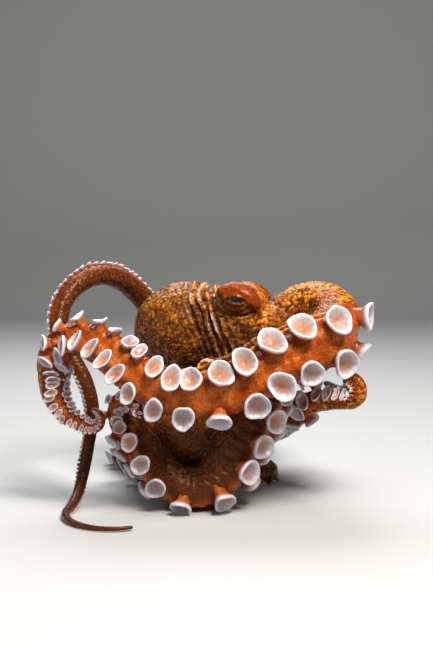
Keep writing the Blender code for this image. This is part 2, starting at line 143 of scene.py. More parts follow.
EYE_OPENING = (4.4, 1.1)   # half-width and half-height of the slit between the lids
LID_THICKNESS, EYE_INSET = 1.0, 1.3
EYE_CAP = 0.62             # how much of each eyeball is made, from the front
EYE_ROLL, HOOD_ROLL = math.radians(6), math.radians(15)   # slits and hoods slope down towards the arms
HOOD_LENGTH = 1.45         # of the hood over an eye, against its height
HOOD_EDGE = 10.4           # distance of the groove round the hood
FIRST_BAG, BAG_PITCH = 4.4, 3.3   # of the folds under an eye
HOOD_HEIGHT, BAG_HEIGHT = 3.0, 0.7
WART, CREASE, FOLD = 2.9, 8.5, 5.2   # spacing of the warts, the deeper creases and the folds of the neck
FOLD_HEIGHT = 2.5

# colours as linear red, green, blue
GOLD, AMBER = (0.78, 0.235, 0.007), (0.50, 0.095, 0.002)
BROWN, DARK = (0.12, 0.034, 0.005), (0.030, 0.010, 0.004)
ORANGE, RUST = (0.30, 0.050, 0.0015), (0.15, 0.020, 0.002)
PEACH, PALE, LAVENDER = (0.62, 0.24, 0.08), (0.88, 0.46, 0.13), (0.54, 0.46, 0.44)
EMBER, RUSSET = (0.60, 0.16, 0.007), (0.15, 0.027, 0.004)
HOOD, RED, SHADE_UMBER = (0.20, 0.030, 0.003), (0.18, 0.024, 0.004), (0.045, 0.014, 0.005)
FUNNEL_PINK = (0.66, 0.38, 0.28)
PUPIL, PUPIL_RIM, IRIS = (0.003, 0.002, 0.002), (0.12, 0.050, 0.014), (0.045, 0.018, 0.007)


# ---------------------------------------------------------------- curves and noise

def unit(v):
    v = np.asarray(v, float)
    return v / np.linalg.norm(v, axis=-1, keepdims=True)


def spline(points, count):
    """A natural cubic through the rows, sampled evenly along their chords."""
    p = np.array(points, float)
    t = np.concatenate([[0], np.cumsum(np.linalg.norm(np.diff(p[:, :3], axis=0), axis=1))])
    h = np.diff(t)
    n = len(p)
    a = np.eye(n)
    b = np.zeros_like(p)
    for i in range(1, n - 1):
        a[i, i - 1:i + 2] = h[i - 1], 2 * (h[i - 1] + h[i]), h[i]
        b[i] = 6 * ((p[i + 1] - p[i]) / h[i] - (p[i] - p[i - 1]) / h[i - 1])
    m = np.linalg.solve(a, b)
    u = np.linspace(0, t[-1], count)
    k = np.clip(np.searchsorted(t, u, side="right") - 1, 0, n - 2)
    d = (u - t[k])[:, None]
    e = (t[k + 1] - u)[:, None]
    w = h[k][:, None]
    return ((m[k] * e ** 3 + m[k + 1] * d ** 3) / (6 * w)
            + (p[k] / w - m[k] * w / 6) * e + (p[k + 1] / w - m[k + 1] * w / 6) * d)


class Arm:
    """An arm's centre line every millimetre.

    s is the distance along it, p the point, t the tangent, o the way to the sucker side,
    b the way across, and r the radius.
    """

    def __init__(self, name, radius, taper, cup, route, curl, dark_brown_and_shade=0.0, russet=0.0,
                 swell=((0,), (1,)), crowd=((0,), (1,)), lean=((0,), (0,)), turn=((0,), (0,))):
        self.name, self.cup, self.dark_brown_and_shade, self.russet = name, cup, dark_brown_and_shade, russet
        self.swell, self.crowd, self.lean, self.turn = swell, crowd, lean, turn
        rows = spline(route, 60 * len(route))
        p, o = rows[:, :3], rows[:, 3:]
        t = unit(np.gradient(p, axis=0))
        o = unit(o - (o * t).sum(1)[:, None] * t)
        reach0, turns, shrink, side, drift = curl
        a = math.radians(side)
        inward = math.cos(a) * o[-1] + math.sin(a) * np.cross(t[-1], o[-1])
        axis = np.cross(t[-1], inward)
        steps = 200
        bend = 2 * math.pi * turns / steps
        q = p[-1].copy()
        more, sides = [], []
        for i in range(steps):
            f = (i + 0.5) * bend
            reach = reach0 * shrink ** (f / (2 * math.pi * turns))
            ahead = math.cos(f) * t[-1] + math.sin(f) * inward
            q = q + reach * bend * ahead + drift * bend / (2 * math.pi) * axis
            g = (i + 1) * bend
            more.append(q.copy())
            sides.append(o[-1] * math.cos(g) + np.cross(axis, o[-1]) * math.sin(g)
                         + axis * (axis @ o[-1]) * (1 - math.cos(g)))
        p = np.vstack([p, more])
        o = np.vstack([o, sides])
        s = np.concatenate([[0], np.cumsum(np.linalg.norm(np.diff(p, axis=0), axis=1))])
        self.s = np.linspace(0, s[-1], int(s[-1]) + 1)
        self.length = s[-1]
        self.p = np.stack([np.interp(self.s, s, p[:, i]) for i in range(3)], 1)
        o = np.stack([np.interp(self.s, s, o[:, i]) for i in range(3)], 1)
        self.t = unit(np.gradient(self.p, axis=0))
        self.o = unit(o - (o * self.t).sum(1)[:, None] * self.t)
        self.b = np.cross(self.t, self.o)
        self.r = TIP_RADIUS + (radius - TIP_RADIUS) * (1 - (self.s / self.length) ** taper) ** 0.9

    def at(self, s, field):
        values = getattr(self, field)
        if values.ndim == 1:
            return np.interp(s, self.s, values)
        return np.stack([np.interp(s, self.s, values[:, i]) for i in range(3)], -1)


def chance(cell, seed):
    """Even numbers from 0 to 1 for whole-number cells."""
    c = cell.astype(np.int64)
    h = (c[..., 0] * 73856093) ^ (c[..., 1] * 19349663) ^ (c[..., 2] * 83492791) ^ (seed * 40503 + 12345)
    h = ((h ^ (h >> 13)) * 1274126177) & 0xFFFFFFFF
    h = ((h ^ (h >> 15)) * 2246822519) & 0xFFFFFFFF
    return ((h ^ (h >> 16)) & 0xFFFFFFFF) / 2.0 ** 32


def noise(p, seed=0):
    """Smooth noise from -1 to 1 with a period of about one unit."""
    base = np.floor(p)
    f = p - base
    f = f * f * (3 - 2 * f)
    ends = (1 - f, f)
    total = np.zeros(len(p))
    for i in (0, 1):
        for j in (0, 1):
            for k in (0, 1):
                w = ends[i][:, 0] * ends[j][:, 1] * ends[k][:, 2]
                total += w * chance(base + (i, j, k), seed)
    return 2 * total - 1


def cells(p, seed=0):
    """Distances to the nearest and next nearest of scattered points, about one to a unit cube."""
    base = np.floor(p)
    first = np.full(len(p), 9.0)
    second = first.copy()
    for i in (-1, 0, 1):
        for j in (-1, 0, 1):
            for k in (-1, 0, 1):
                c = base + (i, j, k)
                q = c + np.stack([chance(c, seed + 1 + a) for a in range(3)], -1)
                d = np.linalg.norm(p - q, axis=1)
                second = np.minimum(second, np.maximum(first, d))
                first = np.minimum(first, d)
    return first, second


def ease(x, low, high):
    """0 below low, 1 above high, and smooth between."""
    x = np.clip((x - low) / (high - low), 0, 1)
    return x * x * (3 - 2 * x)


# ---------------------------------------------------------------- shells

def sweep(rings, closed_ends=True):
    """A closed shell through rings of points, all the same length."""
    rings = np.asarray(rings, float)
    m, n = rings.shape[:2]
    verts = rings.reshape(-1, 3)
    i, j = np.meshgrid(np.arange(m - 1), np.arange(n), indexing="ij")
    k = (j + 1) % n
    quads = np.stack([i * n + j, i * n + k, (i + 1) * n + k, (i + 1) * n + j], -1).reshape(-1, 4)
    faces = [tuple(quad) for quad in quads]
    if closed_ends:
        faces.append(tuple(range(n))[::-1])
        faces.append(tuple(range((m - 1) * n, m * n)))
    return verts, faces


def ellipsoid(centre, axes, along, round_=32, rows=20):
    x = unit(along)
    y = unit(np.cross((0, 0, 1), x))
    z = np.cross(x, y)
    rings = []
    for i in range(rows + 1):
        a = math.pi * (i + 0.02) / (rows + 0.04)
        ring = []
        for j in range(round_):
            b = 2 * math.pi * j / round_
            ring.append(np.array(centre) - math.cos(a) * axes[0] * x
                        + math.sin(a) * (math.cos(b) * axes[1] * y + math.sin(b) * axes[2] * z))
        rings.append(ring)
    return sweep(rings)


def arm_shell(arm, sides=28, step=1.5):
    """A rounded arm with a shallow groove between its two rows of suckers."""
    s = np.linspace(0, arm.length, int(arm.length / step))
    a = np.linspace(0, 2 * math.pi, sides, endpoint=False)
    groove = 1 - 0.14 * np.exp(-(np.minimum(a, 2 * math.pi - a) / 0.28) ** 2)
    p, o, b, r = (arm.at(s, f) for f in "pobr")
    rings = p[:, None] + (r[:, None] * groove)[..., None] * (
        np.cos(a)[None, :, None] * o[:, None] + np.sin(a)[None, :, None] * b[:, None])
    return sweep(rings)


def flange_sections(arm, start, end, angle, height):
    """Foot, crest, way out and way across of a low fold along an arm, section by section."""
    out_of = []
    for d in np.arange(start, end, 1.0):
        p, o, b, r = (arm.at(d, f) for f in "pobr")
        share = (d - start) / (end - start)
        h = height * math.sin(math.pi * share) ** 0.6 * (1 + 0.15 * math.sin(d / 5.0 + angle))
        a = math.radians(angle + 3 * math.sin(d / 9.0 + angle))
        out = math.cos(a) * o + math.sin(a) * b
        across = -math.sin(a) * o + math.cos(a) * b
        out_of.append((p + out * r * 0.7, p + out * (r + h), out, across))
    return out_of


def flange(arm, start, end, angle, height, thick=2.0):
    """A thin fold of skin along one side of an arm."""
    rings = []
    for foot, top, out, across in flange_sections(arm, start, end, angle, height):
        rings.append([foot - across * thick, top - across * thick * 0.42, top + out * 0.5,
                      top + across * thick * 0.42, foot + across * thick])
    return sweep(rings)


def web(one, other, depth, sag=0.42, thick=2.4):
    """The web between two neighbouring arms, out to a hollow edge."""
    across = np.linspace(0, 1, 9)
    front = []
    for share in np.linspace(0.0, 1, 14):
        row = []
        for v in across:
            s = share * depth * (1 - sag * math.sin(math.pi * v))
            a, b = one.at(s, "p"), other.at(s, "p")
            row.append(a * (1 - v) + b * v)
        front.append(row)
    front = np.array(front)
    du = np.gradient(front, axis=0)
    dv = np.gradient(front, axis=1)
    n = unit(np.cross(du, dv) + 1e-9)
    rings = []
    for i in range(len(front)):
        up = front[i] + n[i] * thick / 2
        down = front[i] - n[i] * thick / 2
        rings.append(np.vstack([up, down[::-1]]))
    return sweep(rings)


def funnel_shell():
    foot, mouth = (np.array(v, float) for v in FUNNEL[:2])
    wide, narrow, bore = FUNNEL[2:]
    d = unit(mouth - foot)
    length = np.linalg.norm(mouth - foot)
    x = unit(np.cross(d, (0, 0, 1)))
    y = np.cross(d, x)
    profile = [(0, wide), (0.5, (wide + narrow) / 2), (0.85, narrow), (0.97, narrow + 0.3),
               (1.0, narrow - 0.6), (0.99, bore + 0.2), (0.9, bore), (0.6, bore * 0.8), (0.58, 0.1)]
    a = np.linspace(0, 2 * math.pi, 24, endpoint=False)
    circle = np.cos(a)[:, None] * x + np.sin(a)[:, None] * y
    return sweep([foot + d * length * h + r * circle for h, r in profile])


def eye_frame(look):
    """An eye's way out, its way along the slit towards the arms, and across the slit."""
    d = unit(look)
    x = unit(np.cross((0, 0, 1), d)) * (1 if d[1] < 0 else -1)
    z = np.array([0, 0, 1]) - d[2] * d
    along = math.cos(EYE_ROLL) * x - math.sin(EYE_ROLL) * unit(z)
    return d, along, unit(z - (z @ along) * along)


def join(shells):
    verts, faces, base = [], [], 0
    for v, f in shells:
        verts.append(v)
        faces += [tuple(i + base for i in face) for face in f]
        base += len(v)
    return np.vstack(verts), faces


def to_mesh(name, verts, faces):
    mesh = bpy.data.meshes.new(name)
    mesh.from_pydata((np.asarray(verts) + SHIFT) * MM, [], faces)
    mesh.update()
    return mesh


def to_object(name, mesh):
    obj = bpy.data.objects.new(name, mesh)
    bpy.context.scene.collection.objects.link(obj)
    return obj


def paint(mesh, name, colours):
    """A colour for each point, as linear red, green, blue."""
    layer = mesh.color_attributes.new(name, "FLOAT_COLOR", "POINT")
    rgba = np.ones((len(colours), 4), np.float32)
    rgba[:, :3] = colours
    layer.data.foreach_set("color", rgba.ravel())


# ---------------------------------------------------------------- suckers' places

def inside(co, shape):
    """1 on an ellipsoid's surface, less inside."""
    centre, axes, along = shape
    x = unit(along)
    y = unit(np.cross((0, 0, 1), x))
    z = np.cross(x, y)
    d = co - np.array(centre)
    return np.sqrt(sum(((d @ a) / h) ** 2 for a, h in zip((x, y, z), axes)))


def sucker_places(arm, rng):
    """(centre on the arm's surface, facing, along, size, length against width) for each sucker."""
    out = []
    for side in (-1, 1):
        s = FIRST_SUCKER if side < 0 else FIRST_SUCKER + PITCH / 2 * arm.at(FIRST_SUCKER, "r") * arm.cup
        while s < arm.length - LAST_SUCKER:
            r = float(arm.at(s, "r"))
            p, o, b, t = (arm.at(s, f) for f in "pobt")
            grown = ROOT_SHARE + (1 - ROOT_SHARE) * min(1.0, s / FULL_SIZE_AT)
            size = r * arm.cup * grown * rng.uniform(0.93, 1.05)
            size *= np.interp(s, *arm.swell)
            place = math.radians(side * ROW_ANGLE)
            facing = math.radians(side * FACE_ANGLE + np.interp(s, *arm.lean))
            spot = math.cos(place) * o + math.sin(place) * b
            face = unit(math.cos(facing) * o + math.sin(facing) * b + np.interp(s, *arm.turn) * t)
            crowd = float(np.interp(s, *arm.crowd))
            centre = p + spot * r * 0.9
            if min(inside(centre, shape) for shape in CROWN_SHAPES) > OUT_OF_CROWN:
                out.append((centre + STAND_OUT * (1 - face @ spot) * size * face, face, t, size, crowd))
            s += PITCH * size * crowd
    return out


arms = [Arm(name, **plan) for name, plan in ARMS.items()]
by_name = {arm.name: arm for arm in arms}
rng = np.random.default_rng(7)
places = [place for arm in arms for place in sucker_places(arm, rng)]


# ---------------------------------------------------------------- the skin

def root_shell(arm):
    """A plain tube from the middle of the crown to where an arm starts."""
    start, end = np.array(CROWN[0], float), arm.p[12]
    d = unit(end - start)
    x = unit(np.cross(d, (0.2, 0.9, 0.3)))
    y = np.cross(d, x)
    a = np.linspace(0, 2 * math.pi, 16, endpoint=False)
    ring = arm.r[0] * 0.9 * (np.cos(a)[:, None] * x + np.sin(a)[:, None] * y)
    return sweep([start + (end - start) * k + ring for k in np.linspace(0, 1, 6)])


def raw_skin():
    shells = [ellipsoid(*shape, 48, 30) for shape in (*HEAD_SHAPES, *CROWN_SHAPES)] + [funnel_shell()]
    for arm in arms:
        shells += [arm_shell(arm), root_shell(arm)]
    for c, out, _, size, crowd in places:
        if size > FLESHY:
            axes = (size * 0.30, size * 0.44, size * 0.42 * crowd)
            shells.append(ellipsoid(c - out * size * 0.15, axes, out, 12, 8))
    shells += [flange(by_name["right_1"], *ridge) for ridge in RIDGES]
    order = list(WEB_DEPTHS)
    for one, other in zip(order, order[1:] + order[:1]):
        shells.append(web(by_name[one], by_name[other], WEB_DEPTHS[one]))
    return join(shells)


def remesh(verts, faces):
    obj = to_object("raw", to_mesh("raw", verts, faces))
    mod = obj.modifiers.new("melt", "REMESH")
    mod.mode = "VOXEL"
    mod.voxel_size = VOXEL * MM
    graph = bpy.context.evaluated_depsgraph_get()
    mesh = bpy.data.meshes.new_from_object(obj.evaluated_get(graph))
    bpy.data.objects.remove(obj)
    return mesh


def points_of(mesh):
    co = np.empty(len(mesh.vertices) * 3, np.float32)
    mesh.vertices.foreach_get("co", co)
    return co.reshape(-1, 3).astype(float) / MM - SHIFT


def edges_of(mesh):
    pairs = np.empty(len(mesh.edges) * 2, np.int32)
    mesh.edges.foreach_get("vertices", pairs)
    return pairs.reshape(-1, 2)


def normals_of(mesh, co):
    mesh.vertices.foreach_set("co", ((co + SHIFT) * MM).astype(np.float32).ravel())
    mesh.update()
    n = np.empty(len(mesh.vertices) * 3, np.float32)
    mesh.vertices.foreach_get("normal", n)
    return n.reshape(-1, 3).astype(float)


def relax(co, pairs, weight, rounds):
    n = len(co)
    count = np.maximum(np.bincount(pairs.ravel(), minlength=n), 1)
    for _ in range(rounds):
        for k in range(3):
            mean = (np.bincount(pairs[:, 0], co[pairs[:, 1], k], n)
                    + np.bincount(pairs[:, 1], co[pairs[:, 0], k], n)) / count
            co[:, k] += weight * (mean - co[:, k])
    return co


def locate(co):
    """Each point's nearest arm, and its place on it.

    The place is the distance along, the angle from the sucker side, the radius there, the
    depth (1 on the surface), and the share of the arm's length.
    """
    samples = np.vstack([arm.p for arm in arms])
    owner = np.concatenate([np.full(len(arm.p), i) for i, arm in enumerate(arms)])
    index = np.concatenate([np.arange(len(arm.p)) for arm in arms])
    tree = KDTree(len(samples))
    for i, q in enumerate(samples):
        tree.insert(q, i)
    tree.balance()
    near = np.array([tree.find(q)[1] for q in co])
    who, where = owner[near], index[near]
    s, angle, r, deep, share = (np.zeros(len(co)) for _ in range(5))
    for i, arm in enumerate(arms):
        k = who == i
        w = where[k]
        d = co[k] - arm.p[w]
        s[k] = arm.s[w] + (d * arm.t[w]).sum(1)
        angle[k] = np.arctan2((d * arm.b[w]).sum(1), (d * arm.o[w]).sum(1))
        r[k] = arm.r[w]
        deep[k] = np.linalg.norm(d, axis=1) / arm.r[w]
        share[k] = arm.s[w] / arm.length
    return who, s, angle, r, deep, share


class Surface:
    """What is known of each point of the skin: where it is, which way it faces, what it is part of."""

    def __init__(self, mesh):
        self.co = points_of(mesh)
        pairs = edges_of(mesh)
        who, self.s, angle, self.r, deep, share = locate(self.co)
        self.angle, self.round = angle, np.abs(angle)
        front_arm = np.array([arm.name == "right_1" for arm in arms])[who]
        webbed = ease(self.s, 60, 95) * (1 - ease(self.s, 195, 225))
        self.web_side = front_arm * webbed * (1 - ease(deep, 1.2, 1.4))
        head = np.minimum.reduce([inside(self.co, shape) for shape in HEAD_SHAPES])
        crown = np.minimum.reduce([inside(self.co, shape) for shape in CROWN_SHAPES])
        self.head = 1 - ease(head, 1.03, 1.16)
        body = np.maximum(self.head, (1 - ease(crown, 1.0, 1.2)) * (1 - ease(self.s, 20, 45)))
        self.body = np.maximum(body, ease(deep, 1.3, 1.6) * (1 - ease(self.s, 60, 90)))
        self.dark_brown_and_shade = np.array([arm.dark_brown_and_shade for arm in arms])[who]
        self.russet = np.array([arm.russet for arm in arms])[who] * (1 - self.head)
        self.share = share
        relax(self.co, pairs, 0.5 * np.clip((self.r - 2.2) / 4, 0.05, 1), 6)
        relax(self.co, pairs, 0.6 * self.body, 22)
        self.n = normals_of(mesh, self.co)
        self.back = ease(self.round, 1.25, 1.9)
        self.flank = ease(self.round, 0.6, 0.95) * (1 - self.back)
        self.neck = (self.co - np.array(NECK[0])) @ unit(NECK[1])
        self.creased = np.exp(-(self.neck / 11) ** 2) * self.head * ease(self.co[:, 2], 78, 92)
        self.ridge = np.exp(-(off_ridges(self.co) / 1.5) ** 2) * self.web_side
        self.eyes = [EyeSpace(self.co, *eye) for eye in EYES.values()]


def off_ridges(co):
    """How far each point is from the crest of the nearest fold of the front arm's web."""
    crests = [top for ridge in RIDGES for _, top, _, _ in flange_sections(by_name["right_1"], *ridge)]
    tree = KDTree(len(crests))
    for i, top in enumerate(crests):
        tree.insert(top, i)
    tree.balance()
    return np.array([tree.find(q)[2] for q in co])


class EyeSpace:
    """Each point from an eye: across, up and out, how far round on the hood and the bags, and 1 near it."""

    def __init__(self, co, centre, radius, look):
        d, x, z = eye_frame(look)
        q = co - np.array(centre)
        self.across, self.up, self.out = q @ x, q @ z, q @ d
        c, s = math.cos(HOOD_ROLL), math.sin(HOOD_ROLL)
        along, over = self.across * c - self.up * s, self.across * s + self.up * c
        wander = 0.6 * noise(co / 9, 91)
        self.hood = np.sqrt((along / HOOD_LENGTH) ** 2 + over ** 2) + wander
        self.bag = np.sqrt((self.across / HOOD_LENGTH) ** 2 + self.up ** 2) + wander
        self.bags = np.cos((self.bag - FIRST_BAG) * 2 * math.pi / BAG_PITCH)
        self.brow = ease(over, -2.0, 2.0)
        self.near = (ease(self.out, -3, 2) * (1 - ease(self.hood, 13, 16))
                     * (np.linalg.norm(q, axis=1) < radius + 14))


def bump(x, middle, width):
    return np.exp(-((x - middle) / width) ** 2)


def wrinkle(skin):
    """Raise and sink the skin: mounds, a net of grooves, neck folds, arched lids, rings on the arms."""
    co = skin.co
    warp = np.stack([noise(co / 6 + 11 * k, 20 + k) for k in range(3)], 1)
    first, second = cells((co + 2.0 * warp) / WART, 3)
    skin.net = bump(second - first, 0, 0.17)
    first, second = cells((co + 2.5 * warp) / CREASE, 13)
    skin.crease = bump(second - first, 0, 0.13)
    phase = skin.neck * 2 * math.pi / FOLD + 3.0 * noise(co / 11, 31)
    skin.folds = (0.75 * np.sin(phase) + 0.25 * np.sin(2.3 * phase + 1)) * (0.7 + 0.4 * noise(co / 7, 32))
    skin.lid = np.maximum.reduce([eye.near for eye in skin.eyes])
    smooth = 1 - 0.9 * skin.lid
    lift = skin.body * smooth * (0.9 * noise(co / 15, 1) + 0.5 * noise(co / 6, 2) + 0.3 * noise(co / 2.2, 7)
                                 - 0.34 * skin.net - 0.5 * skin.crease)
    lift += skin.creased * smooth * FOLD_HEIGHT * skin.folds
    for eye in skin.eyes:
        arch = HOOD_HEIGHT * ease(eye.hood, 3.4, 6.4) * (1 - ease(eye.hood, 9.0, 12.8))
        arch -= 0.5 * bump(eye.hood, HOOD_EDGE, 0.8)
        bags = BAG_HEIGHT * eye.bags * (1 - ease(eye.bag, 9, 15))
        lift += eye.near * (eye.brow * arch + (1 - eye.brow) * bags)
    size = np.clip(skin.r / 12, 0.12, 1)
    rings = np.sin(skin.s * 2 * math.pi / np.clip(skin.r * 0.42, 2.6, 6) + 2.5 * noise(co / 8, 5))
    grain = 0.35 * noise(co / 5, 6) + 0.25 * noise(co / 2.4, 8)
    on_back = skin.back * (grain - 0.45 * skin.net - 0.35 * skin.crease)
    on_flank = skin.flank * (0.18 * rings + grain)
    lift += (1 - skin.body) * (1 - skin.ridge) * size * (on_back + on_flank + 0.26 * rings * (1 - skin.back))
    skin.co = co + skin.n * lift[:, None]


def close_lids(skin):
    """Lay the lids over each eyeball, and sink the skin inside the slit under it."""
    for (centre, radius, _), eye in zip(EYES.values(), skin.eyes):
        middle = np.array(centre)
        q = skin.co - middle
        reach = np.linalg.norm(q, axis=1)
        slit = np.sqrt((eye.across / EYE_OPENING[0]) ** 2 + (eye.up / EYE_OPENING[1]) ** 2)
        front = (eye.out > -2) & (reach < radius + 9)
        rim = LID_THICKNESS + 0.6 * bump(slit, 1.35, 0.3) + 1.6 * ease(eye.hood, 3, 6) * eye.brow
        over = np.maximum(reach, radius + rim)
        over = np.where(slit < 1, radius - EYE_INSET, over)
        skin.co[front] = middle + q[front] * (over / reach)[front][:, None]


def flat(colour, count):
    return np.tile(np.array(colour), (count, 1))


def mix(a, b, w):
    """Colours that go from a to b as w goes from 0 to 1."""
    w = np.clip(w, 0, 1)[:, None]
    return a * (1 - w) + np.asarray(b) * w


def back_colours(skin):
    """Gold and amber patches in a dark net, redder on one arm and plainer at the tips."""
    co = skin.co
    patch = 0.5 + 0.5 * noise(co / 11, 41) + 0.25 * noise(co / 5, 42)
    fleck_and_highlight = ease(noise(co / 1.7, 43) + 0.4 * noise(co / 6, 44), 0.2, 0.6)
    blotch = ease(noise(co / 9, 51) + 0.3 * noise(co / 3, 52), 0.0, 0.8)
    top = mix(flat(AMBER, len(co)), GOLD, ease(patch, 0.15, 0.65))
    top = mix(top, BROWN, 0.3 * blotch)
    # Pale flecks in the cells, partly the skin's own and partly painted highlight, as on wet skin.
    top = mix(top, PALE, 0.65 * fleck_and_highlight * (1 - skin.net))
    top = mix(top, BROWN, 0.6 * ease(noise(co / 1.3, 45), 0.15, 0.6))
    top = mix(top, RUSSET, skin.russet)
    top = mix(top, ORANGE, 0.6 * ease(skin.share, 0.78, 0.95) * (skin.dark_brown_and_shade == 0))
    return mix(top, DARK, 0.94 * skin.net + 0.45 * skin.crease)


def under_colours(skin):
    """Orange flesh with rust patches, between the suckers and up the flanks."""
    co = skin.co
    orange = flat(ORANGE, len(co))
    side = mix(orange, RUST, ease(noise(co / 7, 61) + 0.5 * noise(co / 2.5, 62), -0.35, 0.6))
    side = mix(side, RUST, 0.5 * skin.net)
    under = mix(orange, PEACH, 0.1 + 0.2 * noise(co / 4, 63))
    under = mix(under, RUST, 0.7 * ease(noise(co / 6, 64), 0.0, 0.7))
    return mix(under, side, ease(skin.round, 0.45, 0.95))


def lid_colours(eye, co):
    """The colours round an eye, and how far they cover the skin's."""
    hood = mix(flat(HOOD, len(co)), RED, 0.35 + 0.45 * noise(co / 4, 73))
    hood = mix(hood, RED, 1 - ease(eye.hood, 3.0, 5.5))
    # Painted shade in the groove round the hood.
    hood = mix(hood, DARK, 0.5 * bump(eye.hood, HOOD_EDGE, 0.7))
    # Under the hood, painted shade: dark brown, painted lighter on the crests of the bags.
    shade = mix(flat(DARK, len(co)), BROWN, 0.4 + 0.5 * eye.bags)
    shade = mix(shade, RED, 0.9 * bump(eye.bag, FIRST_BAG, 0.8))
    lids = mix(shade, hood, eye.brow)
    # Painted shade on the lids' edges round the slit.
    slit = np.sqrt((eye.across / (EYE_OPENING[0] + 1)) ** 2 + (eye.up / (EYE_OPENING[1] + 1)) ** 2)
    lids = mix(lids, DARK, 1 - ease(slit, 0.9, 1.4))
    hooded = eye.brow * (1 - ease(eye.hood, 11.6, 13.4))
    bagged = 0.9 * (1 - eye.brow) * (1 - ease(eye.bag, 9, 13))
    return lids, eye.near * np.maximum(hooded, bagged)


def on_spout(co):
    """1 on the free end of the funnel."""
    foot, mouth = (np.array(v, float) for v in FUNNEL[:2])
    d = unit(mouth - foot)
    along = (co - foot) @ d
    off = np.linalg.norm(co - foot - along[:, None] * d, axis=1)
    return ease(along, 9, 16) * (1 - ease(off, 8, 10)) * (along < 28)


def tinted(skin):
    """The colour of each point."""
    co = skin.co
    colour = mix(under_colours(skin), back_colours(skin), np.maximum(skin.back, skin.body))
    band = ease(skin.angle, 1.1, 1.3) * (1 - ease(skin.angle, 1.9, 2.2))
    colour = mix(colour, DARK, 0.85 * skin.web_side * band)
    colour = mix(colour, EMBER, 0.9 * ease(skin.ridge + 0.35 * noise(co / 4, 65), 0.3, 0.9))
    # The webs and crown go darker brown, partly their own colour and partly painted shade under the arms.
    web = skin.body * (1 - skin.head)
    colour = mix(colour, BROWN, 0.55 * web)
    # The backs and flanks of the lower arms and the webs go to dark umber, deepest on the far half of the
    # russet arm: partly their own colour, partly painted shade where they hang low in shadow.
    dark_brown_and_shade = skin.dark_brown_and_shade + skin.russet * 0.5 * ease(skin.share, 0.5, 0.7)
    colour = mix(colour, SHADE_UMBER, dark_brown_and_shade * np.maximum(web, ease(skin.round, 0.5, 0.95)))
    # Painted shade in the troughs of the neck's folds.
    colour = mix(colour, DARK, 0.95 * skin.creased * ease(-skin.folds, -0.1, 0.5))
    # Lavender streaks on the crests of the neck's folds: partly pale skin, partly painted highlight on the
    # crests.
    streaks = ease(noise(co * (0.5, 0.5, 0.12), 71), -0.2, 0.3)
    colour = mix(colour, LAVENDER, 0.9 * skin.creased * ease(skin.folds, 0.2, 0.8) * streaks)
    for eye in skin.eyes:
        colour = mix(colour, *lid_colours(eye, co))
    return mix(colour, FUNNEL_PINK, 0.85 * on_spout(co))


def make_skin():
    mesh = remesh(*raw_skin())
    skin = Surface(mesh)
    wrinkle(skin)
    close_lids(skin)
    skin.co[:, 2] = np.maximum(skin.co[:, 2], SKIN_OFF_FLOOR)
    normals_of(mesh, skin.co)
    paint(mesh, "hue", tinted(skin))
    mesh.shade_smooth()
    return mesh


# ---------------------------------------------------------------- suckers

# share of the half-width, height in half-widths, and tone: 0 stalk, 1 rim, 2 wall, 3 middle
CUP = [(0.58, -0.55, 0), (0.57, -0.26, 0), (0.62, -0.06, 0), (0.76, 0.06, 0.1), (0.90, 0.17, 0.5),
       (0.98, 0.31, 0.9), (1.0, 0.42, 1), (0.985, 0.50, 1), (0.94, 0.545, 1), (0.88, 0.53, 1),
       (0.81, 0.46, 1.1), (0.73, 0.36, 1.3), (0.64, 0.26, 1.7), (0.51, 0.17, 2.2), (0.34, 0.10, 2.6),
       (0.18, 0.05, 3), (0.02, 0.03, 3)]
CUP_COLOURS = np.array([(0.35, 0.068, 0.005), (0.60, 0.57, 0.63), (0.46, 0.27, 0.20), (0.52, 0.17, 0.05)])
SHADE_COOL = np.array((0.31, 0.27, 0.33))   # painted shade: the cool grey the inside of a sucker facing down goes to
SWAY = ((2, 0.035), (3, 0.022))   # how the rim rises and falls, in shares of the size
STALK, SUNK = 0.38, 0.1   # height of the stalk, and depth of its foot in the flesh, in shares of the size
PLEAT_HEIGHT, PLEAT_SHADE = 0.014, 0.10   # of the pleats down the inside of the rim: height, and how much their grooves are painted darker and their crests lighter, as painted shade and light
LOBES = ((2, 0.05), (3, 0.04), (5, 0.022), (8, 0.012))   # waves round a rim, and how high


